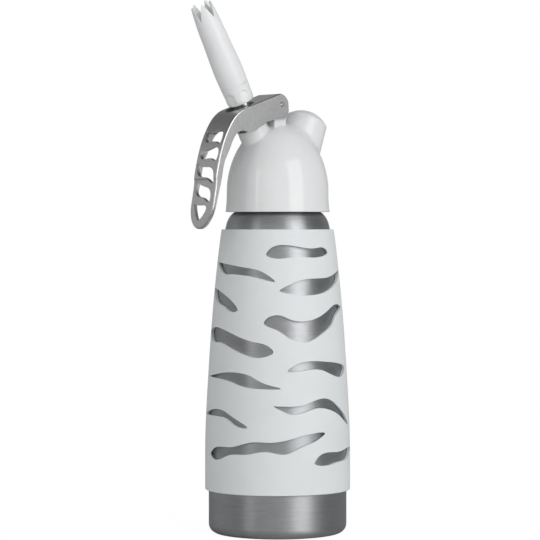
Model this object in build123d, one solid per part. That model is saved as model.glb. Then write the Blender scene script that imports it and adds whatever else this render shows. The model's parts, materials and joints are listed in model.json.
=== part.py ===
from build123d import *
from math import asin, atan, ceil, cos, degrees, hypot, radians, sin, sqrt, tan
import os

# Whipped cream dispenser. Millimetres, +Z up. The origin is the centre of the bottle's
# base. The lever and the nozzle lean toward -X, the charger port toward +X.

# ---------------------------------------------------------------- bottle
bottle_radius = 40.0          # foot of the bottle
foot_rounding = 5.5           # outside radius at the bottom edge
bottle_wall = 1.6
straight_height = 45.0        # the side is straight up to here and then tapers
shoulder_height = 176.5       # top of the taper
shoulder_radius = 30.3
shoulder_rise = 10.5          # of the rounded shoulder, up to the foot of the neck
neck_height = 16.0
mouth_radius = 18.5           # bore of the neck
# the taper bulges outward: (narrowing, height) points as shares of the whole taper
taper_bulge = [(0.1804, 0.3422), (0.4845, 0.6578), (0.768, 0.8669)]
taper_end = (-0.16, 1)        # direction of the side where it meets the shoulder
shoulder_round = (2.7, 7.1)   # a point of the rounded shoulder, in and up from its edge
neck_foot_height = shoulder_height + shoulder_rise
mouth_height = neck_foot_height + neck_height
inner_shoulder_step = (0.6, 3.0)  # how far the inside runs in and up before its cone

# ---------------------------------------------------------------- neck thread
neck_radius = 21.6            # root of the bottle's thread
neck_thread_depth = 1.6
neck_pitch = 4.0
neck_thread_rise = 3.5        # above the foot of the neck
neck_thread_turns = 2.25
head_unscrew_turns = 2.0

# ---------------------------------------------------------------- head gasket
gasket_thickness = 2.2
gasket_play = 0.1             # inside the core's bore

# ---------------------------------------------------------------- grip sleeve
sleeve_wall = 1.85
sleeve_gap = 0.25             # between the bottle and the sleeve
sleeve_low = 25.3
sleeve_inset = 0.5            # of its upper rim below the shoulder
sleeve_high = shoulder_height - sleeve_inset
sleeve_edge_rounding = 0.6
cutter_start = 5.0            # the cutters of the stripes reach from here
cutter_spare = 10.0           # to this far outside the bottle

# ---------------------------------------------------------------- head
rim_drop = 17.0               # of the rim below the bottle's mouth
rim_height = mouth_height - rim_drop
rim_radius = 30.3
rim_flare = 12.0              # height of the flare above the rim
rim_rounding = 0.5            # outer edge of the rim
dome_radius = 29.6            # where the dome starts
dome_side = 50.0              # radius of the side's bulge
side_rise = 29.5              # of the side, up to the round crown
dome_start = rim_height + rim_flare
crown_start = dome_start + side_rise
shell_wall = 2.4
core_inset = 2.0              # of the core above the rim
core_low = rim_height + core_inset
cavity_radius = 16.0          # gas space in the core above the gasket
cavity_rise = 5.0             # above the bottle's mouth
cavity_top = mouth_height + cavity_rise
collar_fillet = 1.6           # where the spout collar meets the dome
boss_fillet = 2.5             # where the charger boss meets the dome
snug = 0.03                   # pieces pressed or glued together
slide_fit = 0.05              # radial clearance of a sliding fit
thread_gap = 0.35             # clearance in the flanks and roots of a thread
face_gap = 0.05               # between flat faces of different moving pieces

# ---------------------------------------------------------------- valve axis
valve_tilt = 27.3             # toward -X
valve_drop = 3.9              # from the mouth down to where it meets the bottle's axis
valve_root = mouth_height - valve_drop
collar_radius = 8.9           # spout collar of the shell
collar_wall = 1.0
collar_top = 40.3             # distances along the valve axis start at the root
collar_foot = 15.0            # the collar runs into the dome down to here
valve_bore = 6.7              # radius of the spring's bore
guide_length = 9.0
guide_flange = 1.5
guide_slot = 2.0              # width of the key's slot across the flange
stem_radius = 5.75            # in the guide
stem_bore = 3.0
stem_waist = 4.0              # radius below the shoulder
seat_height = 12.0            # plane of the valve seat
seat_bore = 5.2
spring_ledge = 21.5
ledge_low = 16.0              # the lower o-ring seals between here and the ledge
shoulder_length = 2.5
shoulder_rim = 6.1
push_collar_radius = 9.05
push_collar_thickness = 2.2
push_collar_seat = 49.0
stem_top = 66.0
stem_thread_root = 4.7
stem_thread_depth = 0.95
stem_pitch = 2.5
stem_thread_turns = 3.0
seal_thickness = 2.4
seal_radius = 7.2
seal_bore = 3.05
seal_pocket = 8.4             # radius of the room round the seal
nut_thickness = 3.6
nut_across = 10.0
stem_end_spare = 0.4          # of the stem beyond the nut
o_ring_wire = 1.5
groove_play = 0.2
lower_ring_at = 20.0
upper_ring_at = 35.5
valve_spring_wire = 0.9
valve_spring_turns = 4.5
side_port_radius = 1.2
side_ports = 3
side_port_rise = 2.3          # of their centres above the seat
lower_bore = 1.6              # bore of the stem between the side ports and the shoulder
lower_bore_rise = 0.8
push_collar_crown = 7.0       # degrees
push_collar_flat = 0.5        # of the collar's top outside the stem

# ---------------------------------------------------------------- nozzle
nozzle_foot = 56.3            # distance of its foot along the valve axis
nozzle_length = 61.3
nozzle_wall = 1.35
nozzle_teeth = 5
tooth_depth = 8.3
nozzle_seam = 10.5            # ring of the seam above the foot
nozzle_unscrew_turns = 2.0
washer_thickness = 1.2
# outer radius of the nozzle: (distance above the foot, radius)
nozzle_foot_outline = [(0.0, 7.35), (0.9, 7.75)]
nozzle_outline = [(6.0, 8.0), (11.3, 8.25), (19.3, 8.4), (27.3, 8.2), (37.3, 7.7),
                  (49.3, 7.2), (56.3, 6.6), (nozzle_length, 6.15)]
thumb_flats = 6
thumb_flat_width = 4.4
thumb_flat_height = 7.5
thumb_flat_depth = 0.45
thumb_flat_turn = 20.0        # degrees from the facing tooth
tooth_facing = -120.0         # degrees round the valve axis of one tooth's middle
notch_mouth = 0.88            # share of the pitch of the teeth
notch_foot = 0.7              # width of the notch's rounded bottom
seam_width = 0.3
seam_radius = 8.15            # at the bottom of the seam
throat_radius = 3.6           # hole behind the washer
throat_length = 1.5
thread_step = 1.0             # from the nozzle's foot to the stem's thread
washer_hole_play = 0.2

# ---------------------------------------------------------------- lever
pivot_x = -4.95
pivot_rise = 44.8             # above the bottle's mouth
pivot_z = mouth_height + pivot_rise
pin_radius = 1.55
lever_width = 22.5
lever_plate = 2.0
lever_wall = 1.8
lug_half_width = 8.9
lug_radius = 3.7
lug_rounding = 0.8
lug_spread = 2.2              # widening of the lug's foot toward the port
lug_sunk = 10.0               # into the dome, from its top
pin_inset = 0.3               # of the pin's ends below the ears
pin_dimple = (0.9, 0.4, 0.8)  # radius at the end, radius inside, depth
ear_radius = 4.6              # from the pin to the back of the ear
ear_top = (-1.75, 3.8)
ear_low = (-2.0, -7.8)
# the lever's points are (x, height above the pin)
web_end = (-5.9, 6.2)
web_bend = (-31.1, -2.9)
# outer face of the handle below the bend
handle_outline = [(-37.3, -6.9), (-43.5, -16.1), (-48.0, -27.8), (-51.0, -40.8)]
handle_tip = (-55.9, -71.6)
# free edge of the side walls, from the ear to the tip
wall_edge = [(-9.1, -8.6), (-17.6, -11.3), (-23.2, -14.9), (-27.5, -16.3),
             (-32.4, -15.5), (-36.8, -17.6), (-41.7, -26.5), (-45.1, -33.5),
             (-47.0, -42.3), (-49.9, -54)]
wall_edge_tip = (-53.6, -71.6)
handle_end = (-0.2, -1)       # direction of the handle's outer face at the tip
tip_rounding = 14.0           # height over which the handle's end narrows
lever_edge_rounding = 0.8     # round the outside of the web and the handle
stem_hole_width = 15.2
stem_hole_length = 17.5
stem_hole_x = -27.0
# wavy slots of the handle, as (across, height) points
handle_slots = [
    [(8.7, -15.6), (2.8, -16.2), (-1.9, -15), (-7.0, -15.6),
     (-7.9, -23), (-2.9, -21.9), (3.1, -22.2), (8.4, -19.9)],
    [(7.6, -26.8), (3.1, -26.9), (-5.8, -25.1), (-8.3, -26.2),
     (-7.8, -32.8), (-2.4, -31.5), (3.5, -31.9), (8.2, -29.9)],
    [(8.4, -34.4), (4.4, -36.2), (-2.1, -36.4), (-7.4, -38.7),
     (-7.9, -45.5), (-1.6, -42.9), (3.5, -42), (8.3, -39.1)],
    [(8.0, -44), (4.0, -46.4), (-0.6, -47.6), (-6.5, -50.4),
     (-6.6, -56.2), (-0.6, -54.3), (3.5, -53.4), (8.2, -50.2)],
    [(7.0, -57.1), (3.2, -58.2), (-0.6, -58), (-4.6, -59.2),
     (-2.4, -64), (1.4, -66.6), (5.2, -63.2)],
]

# ---------------------------------------------------------------- charger port
port_tilt = 25.0              # toward +X
port_drop = 10.0              # from the mouth down to where it meets the bottle's axis
port_root = mouth_height - port_drop
port_rim = 50.0               # distances along the port's axis start at its root
boss_radius = 12.0            # at the rim
boss_flare = 6.5              # degrees, half-cone widening toward the dome
boss_wall = 1.3
boss_foot = 20.0
# distances below the rim
socket_depth = 14.6
socket_length = 26.6
insert_step_depth = 13.6      # the socket is wider from here up
insert_inset = 0.3
channel_radius = 2.5          # gas channel from the socket to the head's cavity
channel_low = 12.0
plug_length = 7.1
plug_thread_rise = 1.5
plug_thread_turns = 1.75
port_thread_root = 8.0        # root of the cap's thread
port_thread_depth = 1.0
port_pitch = 2.5
insert_foot_radius = 8.0
charger_bore = 4.8            # seat of the charger's neck
charger_bore_depth = 11.1
pin_flange_radius = 3.2
pin_flange_thickness = 1.2
pin_shank_radius = 1.6
pin_hole_radius = 0.45
pin_slant = 40.0              # degrees
piercing_pin_radius = 1.1
piercing_pin_reach = 6.5
pin_gasket_thickness = 2.0
check_bore = 3.2
check_chamber_depth = 17.1
check_ball_radius = 1.9
check_ball_gap = 0.03
check_seat_bore = 1.1
check_seat_thickness = 2.0
check_spring_wire = 0.5
check_spring_radius = 1.3     # mean
check_spring_turns = 4.0
cap_rim_height = 0.4
cap_rise = 6.2
cap_rounding = 1.5
cap_wall = 1.7
cap_unscrew_turns = 2.0
cap_seal_thickness = 1.0
cap_seal_play = 0.35

# stripes cut in the sleeve, as (degrees round the axis, per cent of its height) points.
# Degrees count from the side that faces between the lever and -Y, positive toward +X.
stripe_facing = -126.0
stripes = [
    [(-11, 90.98), (-4, 93.56), (10, 94.09), (39, 92.9), (54, 92.57), (57, 91.37),
     (49, 89.85), (30, 89.52), (10, 89.38), (-4, 89.18)],
    [(-76, 87.39), (-52, 86.66), (-34, 85.73), (-19, 84.74), (-9, 82.88), (-2, 80.49),
     (-17, 81.49), (-32, 82.55), (-50, 83.01), (-70, 85)],
    [(2, 77.37), (9, 78.96), (19, 80.62), (45, 81.55), (66, 83.01), (82, 84.07),
     (74, 81.02), (60, 78.04), (46, 75.98), (30, 75.18), (12, 75.71)],
    [(-84, 77.57), (-68, 76.84), (-53, 74.78), (-43, 72.4), (-37.5, 69.34),
     (-44, 68.75), (-57, 70.8), (-72, 72.79)],
    [(-12, 65.23), (-6, 67.42), (1, 67.82), (10, 66.36), (22, 65.43), (34, 66.29),
     (50, 69.34), (68, 71.47), (76, 70.4), (64, 67.88), (55, 64.17), (44, 61.11),
     (32, 58.46), (22, 57.53), (10, 58.99), (-3, 62.57)],
    [(-84, 61.38), (-66, 62.77), (-54, 62.11), (-37, 59.85), (-20, 57.66),
     (-6, 55.74), (-3, 53.95), (-10, 52.16), (-27, 52.42), (-42, 54.74),
     (-60, 57.13), (-76, 57.93)],
    [(9, 47.58), (18, 49.77), (32, 50.43), (50, 49.77), (66, 48.77), (74, 47.18),
     (68, 44.39), (59, 43.99), (46, 45.79), (30, 47.25)],
    [(-74, 44.13), (-56, 45.45), (-36, 46.05), (-23, 44.99), (-10, 42.07), (3, 40.28),
     (-10, 40.01), (-35, 41.41), (-55, 43.33)],
    [(-3, 33.78), (8, 33.58), (20, 33.97), (33, 35.9), (46, 35.83), (58, 32.71),
     (70, 28.6), (76, 25.28), (66, 27.41), (55, 30.26), (44, 32.12), (34, 32.65),
     (21, 31.12), (11, 30.52), (3, 31.92)],
    [(-80, 29.93), (-64, 31.65), (-49, 31.52), (-37, 29.06), (-24, 25.41), (-34, 25.68),
     (-44, 28.2), (-56, 29.13)],
    [(-66, 15.2), (-58, 17.32), (-40, 17.92), (-30, 18.98), (-20, 20.11), (-4, 20.11),
     (10, 21.23), (26, 23.03), (41, 23.03), (36, 21.37), (20, 18.38), (5, 15.59),
     (-8, 16.52), (-26, 15.33), (-42, 14.73), (-54, 12.74), (-63, 13.07)],
    [(30, 12.54), (36, 15.2), (54, 15.66), (74, 16.66), (86, 15.99), (74, 12.81),
     (54, 11.68), (36, 10.95)],
]


# ================================================================ helpers
def placed(tilt, root):
    """Frame on a tilted axis through (0, 0, root), with its Z along that axis."""
    lean = radians(tilt)
    x_along = (cos(lean), 0, -sin(lean))
    z_along = (sin(lean), 0, cos(lean))
    return Plane(origin=(0, 0, root), x_dir=x_along, z_dir=z_along).location


valve_frame = placed(-valve_tilt, valve_root)
port_frame = placed(port_tilt, port_root)


def disc(radius, low, high):
    """Cylinder about Z between two heights."""
    return Pos(0, 0, (low + high) / 2) * Cylinder(radius, high - low)


def tube(outer, inner, low, high):
    """Hollow cylinder about Z between two heights."""
    return disc(outer, low, high) - disc(inner, low - 1, high + 1)


def cone(low_radius, high_radius, low, high):
    """Cone about Z between two heights."""
    return Pos(0, 0, (low + high) / 2) * Cone(low_radius, high_radius, high - low)


def spun(*edges):
    """Solid of revolution about Z from a closed outline in radius and height."""
    outline = Plane.XZ * make_face(Curve() + list(edges))
    return revolve(outline, Axis.Z)


def lathe(*points):
    """Solid of revolution about Z from (radius, height) corners."""
    return spun(Polyline(*points, close=True))


def thread_ridge(root, depth, pitch, low, turns, grow=0.0):
    """Helical ridge; grow widens it on all sides, to cut the groove that it runs in."""
    sunk = 0.4
    foot = 0.30 * pitch + grow
    crest = 0.14 * pitch + grow
    path = Helix(pitch, pitch * turns, root, center=(0, 0, low))
    start = Plane(origin=path @ 0, x_dir=(1, 0, 0), z_dir=path % 0)
    corners = [(-sunk, -foot), (depth + grow, -crest), (depth + grow, crest), (-sunk, foot)]
    section = start * make_face(Polyline(*corners, close=True))
    return sweep(section, path, is_frenet=True)


def thread_groove(root, depth, pitch, low, turns, below, above):
    """Cutter for the groove of a thread, with whole turns to spare below and above it."""
    play = 0.3
    return thread_ridge(root, depth, pitch, low - below * pitch,
                        turns + below + above + play, thread_gap)


def coil(mean_radius, wire, turns, low, high):
    """Compression spring about Z between two heights."""
    rise = high - low - wire
    path = Helix(rise / turns, rise, mean_radius, center=(0, 0, low + wire / 2))
    start = Plane(origin=path @ 0, x_dir=(1, 0, 0), z_dir=path % 0)
    return sweep(start * Circle(wire / 2), path, is_frenet=True)


def o_ring(mean_radius, wire, height):
    """Round-section ring about Z."""
    return Pos(0, 0, height) * Torus(mean_radius, wire / 2)


def save(shape, name):
    """Write one sub-part as a STEP file."""
    solids = shape.solids()
    volume = sum(solid.volume for solid in solids)
    print(f"{name}: {len(solids)} solid, {volume:.1f} mm3")
    export_step(shape, f"parts/{name}.step")


# ================================================================ bottle and sleeve
neck_thread_low = neck_foot_height + neck_thread_rise
taper_height = shoulder_height - straight_height
taper_points = [(bottle_radius - (bottle_radius - shoulder_radius) * narrowing,
                 straight_height + taper_height * share) for narrowing, share in taper_bulge]


def taper_line(offset):
    """Edge of the bottle's tapered side, moved out by an offset."""
    bulge = [(radius + offset, height) for radius, height in taper_points]
    start = (bottle_radius + offset, straight_height)
    end = (shoulder_radius + offset, shoulder_height)
    return Spline(start, *bulge, end, tangents=[(0, 1), taper_end])


def bottle():
    """Drawn bottle with an open, threaded neck."""
    rounded = (shoulder_radius - shoulder_round[0], shoulder_height + shoulder_round[1])
    outside = spun(
        Line((0, 0), (bottle_radius - foot_rounding, 0)),
        JernArc((bottle_radius - foot_rounding, 0), (1, 0), foot_rounding, 90),
        Line((bottle_radius, foot_rounding), (bottle_radius, straight_height)),
        taper_line(0),
        Spline((shoulder_radius, shoulder_height), rounded, (neck_radius, neck_foot_height),
               tangents=[taper_end, (-1, 0.12)]),
        Line((neck_radius, neck_foot_height), (neck_radius, mouth_height)),
        Line((neck_radius, mouth_height), (0, mouth_height)),
        Line((0, mouth_height), (0, 0)),
    )
    inner_radius = bottle_radius - bottle_wall
    inner_round = foot_rounding - bottle_wall
    step_in, step_up = inner_shoulder_step
    inner_shoulder = (shoulder_radius - bottle_wall, shoulder_height)
    inner_step = (inner_shoulder[0] - step_in, inner_shoulder[1] + step_up)
    inside = spun(
        Line((0, bottle_wall), (inner_radius - inner_round, bottle_wall)),
        JernArc((inner_radius - inner_round, bottle_wall), (1, 0), inner_round, 90),
        Line((inner_radius, foot_rounding), (inner_radius, straight_height)),
        taper_line(-bottle_wall),
        Line(inner_shoulder, inner_step),
        Line(inner_step, (mouth_radius, neck_foot_height - bottle_wall)),
        Line((mouth_radius, neck_foot_height - bottle_wall), (mouth_radius, mouth_height + 1)),
        Line((mouth_radius, mouth_height + 1), (0, mouth_height + 1)),
        Line((0, mouth_height + 1), (0, bottle_wall)),
    )
    thread = thread_ridge(neck_radius, neck_thread_depth, neck_pitch,
                          neck_thread_low, neck_thread_turns)
    return outside - inside + thread


def side_radius(height):
    """Radius of the bottle's side at a height, between the points of its outline."""
    points = [(bottle_radius, straight_height), *taper_points, (shoulder_radius, shoulder_height)]
    for (low_radius, low), (high_radius, high) in zip(points, points[1:]):
        if low <= height <= high:
            return low_radius + (high_radius - low_radius) * (height - low) / (high - low)
    return bottle_radius


def bottle_skin(offset):
    """Solid bottle side from the foot to the shoulder, moved out by an offset."""
    radius = bottle_radius + offset
    return spun(
        Line((0, 0), (radius, 0)),
        Line((radius, 0), (radius, straight_height)),
        taper_line(offset),
        Line((shoulder_radius + offset, shoulder_height), (0, shoulder_height)),
        Line((0, shoulder_height), (0, 0)),
    )


def stripe_cutter(points, turn):
    """Radial cutter with the outline of one stripe."""
    rise = (sleeve_high - sleeve_low) / 100
    points = [(angle, sleeve_low + rise * per_cent) for angle, per_cent in points]
    angles = [angle for angle, height in points]
    middle = (min(angles) + max(angles)) / 2
    facing = radians(stripe_facing + turn + middle)
    outward = (cos(facing), sin(facing), 0)
    across = (-sin(facing), cos(facing), 0)
    flat = [((side_radius(height) + sleeve_wall) * sin(radians(angle - middle)), height)
            for angle, height in points]
    start = Plane(origin=(cutter_start * outward[0], cutter_start * outward[1], 0),
                  x_dir=across, z_dir=outward)
    return extrude(start * make_face(Spline(*flat, periodic=True)), bottle_radius + cutter_spare)


def grip_sleeve():
    """Soft sleeve over the bottle's side with stripes cut through it."""
    band = disc(bottle_radius + cutter_spare, sleeve_low, sleeve_high)
    sleeve = (bottle_skin(sleeve_gap + sleeve_wall) - bottle_skin(sleeve_gap)) & band
    rims = sleeve.edges().filter_by(GeomType.CIRCLE).group_by(Axis.Z)
    outer_rims = [max(rims[end], key=lambda edge: edge.radius) for end in (0, -1)]
    sleeve = fillet(outer_rims, sleeve_edge_rounding)
    cutters = [stripe_cutter(points, turn) for turn in (0, 180) for points in stripes]
    return sleeve - cutters


# ================================================================ head
gasket_low = mouth_height + face_gap
gasket_ceiling = gasket_low + gasket_thickness + face_gap
neck_bore = neck_radius + thread_gap
dome_inset = shell_wall + snug
valve_tube_radius = collar_radius - collar_wall
insert_radius = boss_radius - boss_wall
insert_step = port_rim - insert_step_depth
socket_floor = port_rim - socket_depth
socket_foot = port_rim - socket_length
charger_bore_top = port_rim - charger_bore_depth
check_chamber_top = port_rim - check_chamber_depth
plug_low = port_rim - plug_length
side_centre = dome_radius - dome_side
crown_slope = asin((crown_start - dome_start) / dome_side)
crown_centre = dome_start - side_centre * tan(crown_slope)
crown_radius = dome_side + side_centre / cos(crown_slope)
dome_top = crown_centre + crown_radius


def dome_outline(inset):
    """Side and crown of the dome as two arcs that meet smoothly, inset from its outside."""
    turn = degrees(crown_slope)
    return [CenterArc((side_centre, dome_start), dome_side - inset, 0, turn),
            CenterArc((0, crown_centre), crown_radius - inset, turn, 90 - turn)]


def dome(inset, low):
    """Solid under the dome, inset from its outside."""
    radius = dome_radius - inset
    return spun(
        Line((0, low), (radius, low)),
        Line((radius, low), (radius, dome_start)),
        *dome_outline(inset),
        Line((0, dome_top - inset), (0, low)),
    )


def flared_dome():
    """Outside of the head, which widens a little to its rounded rim."""
    body = spun(
        Line((0, rim_height), (rim_radius, rim_height)),
        TangentArc((dome_radius, dome_start), (rim_radius, rim_height), tangent=(0, -1)),
        *dome_outline(0),
        Line((0, dome_top), (0, rim_height)),
    )
    return fillet(body.edges().group_by(Axis.Z)[0], rim_rounding)


def boss():
    """Charger boss, widening from its rim down into the dome."""
    foot = boss_radius + (port_rim - boss_foot) * tan(radians(boss_flare))
    return port_frame * cone(foot, boss_radius, boss_foot, port_rim)


def lug():
    """Block on the dome that carries the lever's pin."""
    low = dome_top - lug_sunk
    cheek = Pos(pivot_x, pivot_z) * Circle(lug_radius)
    foot = make_face(Polyline((pivot_x - lug_radius, pivot_z), (pivot_x + lug_radius, pivot_z),
                              (pivot_x + lug_radius + lug_spread, low), (pivot_x - lug_radius, low),
                              close=True))
    block = extrude(Plane.XZ * (cheek + foot), lug_half_width, both=True)
    cheek_edges = [edge for edge in block.edges()
                   if abs(abs(edge.center().Y) - lug_half_width) < 0.01]
    return fillet(cheek_edges, lug_rounding)


def cross_bore(radius, half_length):
    """Cylinder along Y through the lever's pivot."""
    return Pos(pivot_x, 0, pivot_z) * Rot(90, 0, 0) * Cylinder(radius, 2 * half_length)


def head_shell():
    """White outside of the head: dome, spout collar, charger boss and pin lug."""
    body = flared_dome()
    collar = valve_frame * disc(collar_radius, collar_foot, collar_top)
    for part, rounding in ((collar, collar_fillet), (boss(), boss_fillet), (lug(), lug_rounding)):
        joined = body + part
        body = fillet(new_edges(body, part, combined=joined), rounding)
    hollow = dome(shell_wall, rim_height - 1)
    hollow += valve_frame * disc(valve_tube_radius, collar_foot, collar_top + 1)
    hollow += port_frame * disc(insert_radius, boss_foot, port_rim + 1)
    return body - hollow - cross_bore(pin_radius + snug, lever_width)


def head_core():
    """Metal core: neck thread, valve bore and port bore."""
    body = dome(dome_inset, core_low)
    body += valve_frame * disc(valve_tube_radius - snug, collar_foot, collar_top)
    body -= disc(neck_bore, core_low - 1, gasket_ceiling)
    body -= thread_groove(neck_radius, neck_thread_depth, neck_pitch, neck_thread_low,
                          neck_thread_turns, ceil(head_unscrew_turns), 0)
    body -= disc(cavity_radius, gasket_ceiling - 1, cavity_top)
    body -= valve_frame * disc(seal_pocket, 0, seat_height)
    body -= valve_frame * disc(seat_bore, seat_height - 1, ledge_low)
    body -= valve_frame * disc(stem_waist + slide_fit, ledge_low - 1, spring_ledge + 1)
    body -= valve_frame * disc(valve_bore, spring_ledge, collar_top + 1)
    body -= port_frame * disc(insert_foot_radius + snug, socket_foot, port_rim)
    body -= port_frame * disc(insert_radius + snug, insert_step, port_rim)
    body -= port_frame * disc(channel_radius, channel_low, socket_foot + 1)
    return body


def head_gasket():
    """Flat ring between the bottle's mouth and the core."""
    outer = neck_radius - gasket_play
    return tube(outer, mouth_radius, gasket_low, gasket_low + gasket_thickness)


# ================================================================ valve
guide_low = collar_top - guide_length
shoulder_high = guide_low - face_gap
shoulder_low = shoulder_high - shoulder_length
stem_thread_low = nozzle_foot + thread_step
seal_top = seat_height - face_gap
seal_low = seal_top - seal_thickness
nut_low = seal_low - nut_thickness
stem_end = nut_low - stem_end_spare


def ring_groove(outer, height):
    """Cutter for an o-ring groove in a shaft."""
    half = (o_ring_wire + groove_play) / 2
    return tube(outer + 1, outer - o_ring_wire, height - half, height + half)


def valve_stem():
    """Hollow stem with the shoulder for the spring and the thread for the nozzle."""
    body = lathe(
        (0, stem_end), (seal_bore - snug, stem_end), (seal_bore - snug, seal_top),
        (stem_waist, seal_top), (stem_waist, shoulder_low), (shoulder_rim, shoulder_low),
        (shoulder_rim, shoulder_high), (stem_radius, shoulder_high),
        (stem_radius, push_collar_seat), (stem_thread_root, push_collar_seat),
        (stem_thread_root, stem_top), (0, stem_top),
    )
    body += thread_ridge(stem_thread_root, stem_thread_depth, stem_pitch,
                         stem_thread_low, stem_thread_turns)
    body -= disc(lower_bore, seal_top + lower_bore_rise, stem_top)
    body -= disc(stem_bore, shoulder_high, stem_top + 1)
    body -= ring_groove(stem_waist, lower_ring_at)
    body -= ring_groove(stem_radius, upper_ring_at)
    drill = Rot(0, 90, 0) * Cylinder(side_port_radius, stem_waist + 1)
    for index in range(side_ports):
        turned = Rot(0, 0, 360 / side_ports * index) * Pos(stem_waist / 2, 0, 0)
        body -= Pos(0, 0, seal_top + side_port_rise) * turned * drill
    return valve_frame * body


def push_collar():
    """Crowned ring on the stem that the lever presses."""
    top = push_collar_seat + push_collar_thickness
    inner = stem_thread_root + snug
    flat = stem_radius + push_collar_flat
    crown_drop = (push_collar_radius - flat) * tan(radians(push_collar_crown))
    return valve_frame * lathe(
        (inner, push_collar_seat), (push_collar_radius, push_collar_seat),
        (push_collar_radius, top - crown_drop), (flat, top), (inner, top),
    )


def valve_guide():
    """Flanged guide nut that holds the stem and the spring in the bore."""
    bore = stem_radius + slide_fit
    body = tube(valve_bore - snug, bore, guide_low, collar_top)
    body += tube(valve_tube_radius - snug, bore, collar_top, collar_top + guide_flange)
    slot = Pos(0, 0, collar_top + guide_flange) * Box(2 * collar_radius, guide_slot, guide_flange)
    return valve_frame * (body - slot)


def valve_seal():
    """Rubber disc that closes the seat."""
    return valve_frame * tube(seal_radius, seal_bore, seal_low, seal_top)


def valve_nut():
    """Hexagon nut under the seal."""
    hexagon = extrude(RegularPolygon(nut_across / 2, 6, major_radius=False), nut_thickness)
    nut = Pos(0, 0, nut_low) * hexagon - disc(seal_bore, nut_low - 1, seal_low + 1)
    return valve_frame * nut


def valve_spring():
    """Return spring of the valve between the ledge and the stem's shoulder."""
    mean = (stem_waist + valve_bore) / 2
    return valve_frame * coil(mean, valve_spring_wire, valve_spring_turns,
                              spring_ledge, shoulder_low)


def nozzle_washer():
    """Seal between the stem's outer end and the nozzle."""
    low = stem_top + face_gap
    return valve_frame * tube(stem_thread_root, stem_bore + washer_hole_play,
                              low, low + washer_thickness)


# ================================================================ nozzle
def decorator_nozzle():
    """Screwed tip with a crown of teeth."""
    foot = [(radius, nozzle_foot + up) for up, radius in nozzle_foot_outline]
    side = [(radius, nozzle_foot + up) for up, radius in nozzle_outline]
    tip = side[-1]
    outside = spun(
        Line((0, nozzle_foot), foot[0]),
        Spline(*foot, side[0], tangents=[(0.6, 1), (0.02, 1)]),
        Spline(*side),
        Line(tip, (0, tip[1])),
        Line((0, tip[1]), (0, nozzle_foot)),
    )
    step = stem_top + washer_thickness + 2 * face_gap
    step_top = step + throat_length
    throat = throat_radius
    inner = [(radius - nozzle_wall, height) for radius, height in side if height > step_top]
    inside = spun(
        Line((0, step - 1), (throat, step - 1)),
        Line((throat, step - 1), (throat, step_top)),
        Line((throat, step_top), inner[0]),
        Spline(*inner),
        Line(inner[-1], (inner[-1][0], tip[1] + 1)),
        Line((inner[-1][0], tip[1] + 1), (0, tip[1] + 1)),
        Line((0, tip[1] + 1), (0, step - 1)),
    )
    body = outside - inside - disc(stem_thread_root + thread_gap, nozzle_foot - 1, step)
    body -= thread_groove(stem_thread_root, stem_thread_depth, stem_pitch, stem_thread_low,
                          stem_thread_turns, ceil(nozzle_unscrew_turns), 0)
    seam = nozzle_foot + nozzle_seam
    body -= tube(collar_radius, seam_radius, seam - seam_width / 2, seam + seam_width / 2)
    tooth_angle = 360 / nozzle_teeth
    half_mouth = tip[0] * sin(radians(tooth_angle / 2)) * notch_mouth
    half_foot = notch_foot / 2
    above = tip[1] + 0.5
    below = tip[1] - tooth_depth
    notch_face = make_face(Polyline((-half_mouth, above), (half_mouth, above),
                                    (half_foot, below), (-half_foot, below), close=True))
    notch = extrude(Plane.YZ * notch_face, 2 * tip[0])
    for index in range(nozzle_teeth):
        body -= Rot(0, 0, tooth_facing + tooth_angle * (index + 0.5)) * notch
    reach = nozzle_outline[0][1]
    flute_face = Pos(0, nozzle_foot + thumb_flat_height / 2 - 1) * RectangleRounded(
        thumb_flat_width, thumb_flat_height + 2, thumb_flat_width / 2 - 0.1)
    flute = extrude(Plane.YZ.offset(reach - thumb_flat_depth) * flute_face, 3)
    for index in range(thumb_flats):
        body -= Rot(0, 0, tooth_facing + thumb_flat_turn + 360 / thumb_flats * index) * flute
    return valve_frame * body


# ================================================================ lever
def above_pin(point):
    """Point of the lever's plane in the shared frame."""
    return (point[0], pivot_z + point[1])


def handle_line(inset):
    """Points of the handle's outer face from the web's bend to the tip, moved in."""
    points = [web_end, web_bend, *handle_outline, handle_tip, handle_tip]
    moved = []
    for before, (x, z), after in zip(points, points[1:], points[2:]):
        run = hypot(after[0] - before[0], after[1] - before[1])
        across = (-(after[1] - before[1]) / run, (after[0] - before[0]) / run)
        moved.append(above_pin((x + across[0] * inset, z + across[1] * inset)))
    return moved


def handle_end_solid(half, end):
    """Everything within the handle's rounded end, seen along X."""
    start = above_pin(handle_tip)[1] + tip_rounding
    top = above_pin(web_end)[1] + 10
    face = make_face(Curve() + [
        EllipticalCenterArc((0, start), half, start - end, 180, arc_size=180),
        Line((half, start), (half, top)),
        Line((half, top), (-half, top)),
        Line((-half, top), (-half, start)),
    ])
    return extrude(Plane.YZ * face, 100, both=True)


def outside_edges(body):
    """Edges along both sides of the web and round the handle, on their outside."""
    outside = [face for face in body.faces()
               if face.normal_at(face.center()).dot(Vector(-1, 0, 1)) > 0.7]
    return [edge for face in outside for edge in face.edges()
            if abs(edge.center().Y) > 1 and abs(edge.tangent_at(0.5).Y) < 0.9]


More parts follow.
